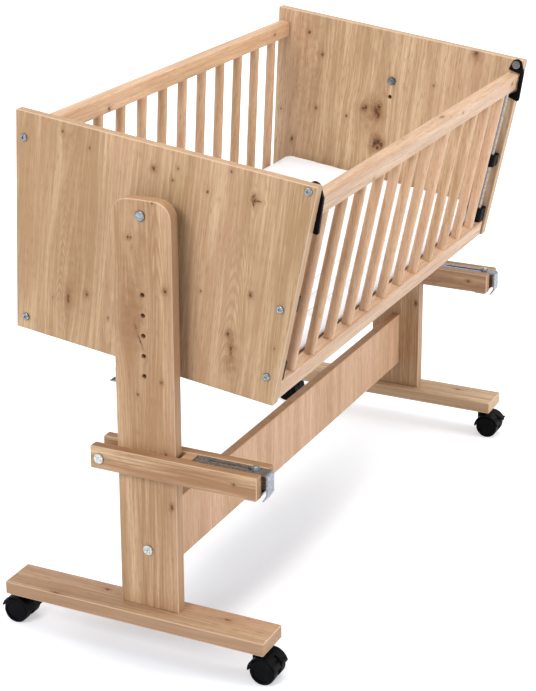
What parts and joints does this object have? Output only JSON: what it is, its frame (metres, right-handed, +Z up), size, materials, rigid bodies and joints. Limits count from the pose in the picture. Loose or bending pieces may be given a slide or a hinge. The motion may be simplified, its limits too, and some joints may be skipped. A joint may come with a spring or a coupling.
{
  "type": "bedside crib",
  "caption": "Bedside crib: a slatted swinging cradle with a drop gate between two posts on castored feet, with clamping arms and bed hooks.",
  "frame": {"origin": "on the floor under the middle of the whole crib", "axes": "+Z up, +X along the crib towards its far end, -Y towards the front with the gate"},
  "size_m": [1.086, 0.5268, 0.8385],
  "materials": {
    "oak": "knotty oak board, oiled, satin",
    "birch": "plain hardwood, oiled",
    "zinc": "bright zinc plate",
    "steel": "plated sheet steel",
    "black_plastic": "moulded, fine grain",
    "wheel_plastic": "moulded tread, satin",
    "mattress_cloth": "white woven cotton"
  },
  "bodies": {
    "root": {"foot_near": "oak", "foot_far": "oak", "post_near": "oak", "post_far": "oak", "stretcher": "oak", "stretcher_bolts": "zinc", "foot_screws": "zinc", "pivot_bolts": "zinc", "pivot_nuts": "zinc", "pivot_spacers": "zinc", "tether_tabs": "steel", "castor_sockets": "steel"},
    "cradle": {"end_panel_near": "oak", "end_panel_far": "oak", "rear_top_rail": "oak", "rear_bottom_rail": "oak", "rear_bars": "oak", "panel_bolts": "zinc", "gate_clips": "black_plastic", "base_cleats": "birch", "base_batten": "birch", "base_slats": "birch", "mattress": "mattress_cloth"},
    "gate": {"gate_top_rail": "oak", "gate_bottom_rail": "oak", "gate_bars": "oak", "gate_rods": "zinc"},
    "gate_catch_near": {"gate_catch_near": "black_plastic"},
    "gate_catch_far": {"gate_catch_far": "black_plastic"},
    "arm_near": {"arm_inner_bar_near": "oak", "arm_outer_bar_near": "oak", "arm_block_near": "oak", "hook_seat_near": "steel", "arm_bolts_near": "zinc"},
    "bed_hook_near": {"bed_hook_near": "steel"},
    "arm_far": {"arm_inner_bar_far": "oak", "arm_outer_bar_far": "oak", "arm_block_far": "oak", "hook_seat_far": "steel", "arm_bolts_far": "zinc"},
    "bed_hook_far": {"bed_hook_far": "steel"},
    "castor_near_front": {"castor_hood_near_front": "black_plastic", "castor_pins_near_front": "zinc"},
    "castor_wheel_near_front_left": {"castor_wheel_near_front_left": "wheel_plastic"},
    "castor_wheel_near_front_right": {"castor_wheel_near_front_right": "wheel_plastic"},
    "brake_lever_near_front": {"brake_lever_near_front": "black_plastic"},
    "castor_near_rear": {"castor_hood_near_rear": "black_plastic", "castor_pins_near_rear": "zinc"},
    "castor_wheel_near_rear_left": {"castor_wheel_near_rear_left": "wheel_plastic"},
    "castor_wheel_near_rear_right": {"castor_wheel_near_rear_right": "wheel_plastic"},
    "castor_far_front": {"castor_hood_far_front": "black_plastic", "castor_pins_far_front": "zinc"},
    "castor_wheel_far_front_left": {"castor_wheel_far_front_left": "wheel_plastic"},
    "castor_wheel_far_front_right": {"castor_wheel_far_front_right": "wheel_plastic"},
    "brake_lever_far_front": {"brake_lever_far_front": "black_plastic"},
    "castor_far_rear": {"castor_hood_far_rear": "black_plastic", "castor_pins_far_rear": "zinc"},
    "castor_wheel_far_rear_left": {"castor_wheel_far_rear_left": "wheel_plastic"},
    "castor_wheel_far_rear_right": {"castor_wheel_far_rear_right": "wheel_plastic"}
  },
  "joints": [
    {"name": "cradle_swing", "type": "hinge", "parent": "root", "child": "cradle", "pos_m": [0, -0.0006, 0.714], "axis": [1, 0, 0], "range_deg": [-19.2, 4.8]},
    {"name": "gate_slide", "type": "slide", "parent": "cradle", "child": "gate", "axis": [0, 0.2041, -0.979], "range_m": [0, 0.128]},
    {"name": "gate_catch_near_turn", "type": "hinge", "parent": "cradle", "child": "gate_catch_near", "pos_m": [-0.4525, -0.24775, 0.76896], "axis": [-1, 0, 0], "range_deg": [0, 20]},
    {"name": "gate_catch_far_turn", "type": "hinge", "parent": "cradle", "child": "gate_catch_far", "pos_m": [0.4525, -0.24775, 0.76896], "axis": [-1, 0, 0], "range_deg": [0, 20]},
    {"name": "arm_height_near", "type": "slide", "parent": "root", "child": "arm_near", "axis": [0, 0, 1], "range_m": [-0.07, 0.12]},
    {"name": "bed_hook_near_slide", "type": "slide", "parent": "arm_near", "child": "bed_hook_near", "axis": [0, -1, 0], "range_m": [0, 0.075]},
    {"name": "arm_height_far", "type": "slide", "parent": "root", "child": "arm_far", "axis": [0, 0, 1], "range_m": [-0.07, 0.12]},
    {"name": "bed_hook_far_slide", "type": "slide", "parent": "arm_far", "child": "bed_hook_far", "axis": [0, -1, 0], "range_m": [0, 0.075]},
    {"name": "castor_near_front_swivel", "type": "hinge", "parent": "root", "child": "castor_near_front", "pos_m": [-0.51, -0.1846, 0.056], "axis": [0, 0, 1], "continuous": true},
    {"name": "castor_wheel_near_front_left_spin", "type": "hinge", "parent": "castor_near_front", "child": "castor_wheel_near_front_left", "pos_m": [-0.51, -0.2001, 0.021], "axis": [1, 0, 0], "continuous": true},
    {"name": "castor_wheel_near_front_right_spin", "type": "hinge", "parent": "castor_near_front", "child": "castor_wheel_near_front_right", "pos_m": [-0.51, -0.2001, 0.021], "axis": [1, 0, 0], "continuous": true},
    {"name": "brake_lever_near_front_press", "type": "hinge", "parent": "castor_near_front", "child": "brake_lever_near_front", "pos_m": [-0.51, -0.2077, 0.0314], "axis": [1, 0, 0], "range_deg": [0, 12]},
    {"name": "castor_near_rear_swivel", "type": "hinge", "parent": "root", "child": "castor_near_rear", "pos_m": [-0.51, 0.2254, 0.056], "axis": [0, 0, 1], "continuous": true},
    {"name": "castor_wheel_near_rear_left_spin", "type": "hinge", "parent": "castor_near_rear", "child": "castor_wheel_near_rear_left", "pos_m": [-0.51, 0.2409, 0.021], "axis": [1, 0, 0], "continuous": true},
    {"name": "castor_wheel_near_rear_right_spin", "type": "hinge", "parent": "castor_near_rear", "child": "castor_wheel_near_rear_right", "pos_m": [-0.51, 0.2409, 0.021], "axis": [1, 0, 0], "continuous": true},
    {"name": "castor_far_front_swivel", "type": "hinge", "parent": "root", "child": "castor_far_front", "pos_m": [0.51, -0.1846, 0.056], "axis": [0, 0, 1], "continuous": true},
    {"name": "castor_wheel_far_front_left_spin", "type": "hinge", "parent": "castor_far_front", "child": "castor_wheel_far_front_left", "pos_m": [0.51, -0.2001, 0.021], "axis": [1, 0, 0], "continuous": true},
    {"name": "castor_wheel_far_front_right_spin", "type": "hinge", "parent": "castor_far_front", "child": "castor_wheel_far_front_right", "pos_m": [0.51, -0.2001, 0.021], "axis": [1, 0, 0], "continuous": true},
    {"name": "brake_lever_far_front_press", "type": "hinge", "parent": "castor_far_front", "child": "brake_lever_far_front", "pos_m": [0.51, -0.2077, 0.0314], "axis": [1, 0, 0], "range_deg": [0, 12]},
    {"name": "castor_far_rear_swivel", "type": "hinge", "parent": "root", "child": "castor_far_rear", "pos_m": [0.51, 0.2254, 0.056], "axis": [0, 0, 1], "continuous": true},
    {"name": "castor_wheel_far_rear_left_spin", "type": "hinge", "parent": "castor_far_rear", "child": "castor_wheel_far_rear_left", "pos_m": [0.51, 0.2409, 0.021], "axis": [1, 0, 0], "continuous": true},
    {"name": "castor_wheel_far_rear_right_spin", "type": "hinge", "parent": "castor_far_rear", "child": "castor_wheel_far_rear_right", "pos_m": [0.51, 0.2409, 0.021], "axis": [1, 0, 0], "continuous": true}
  ]
}
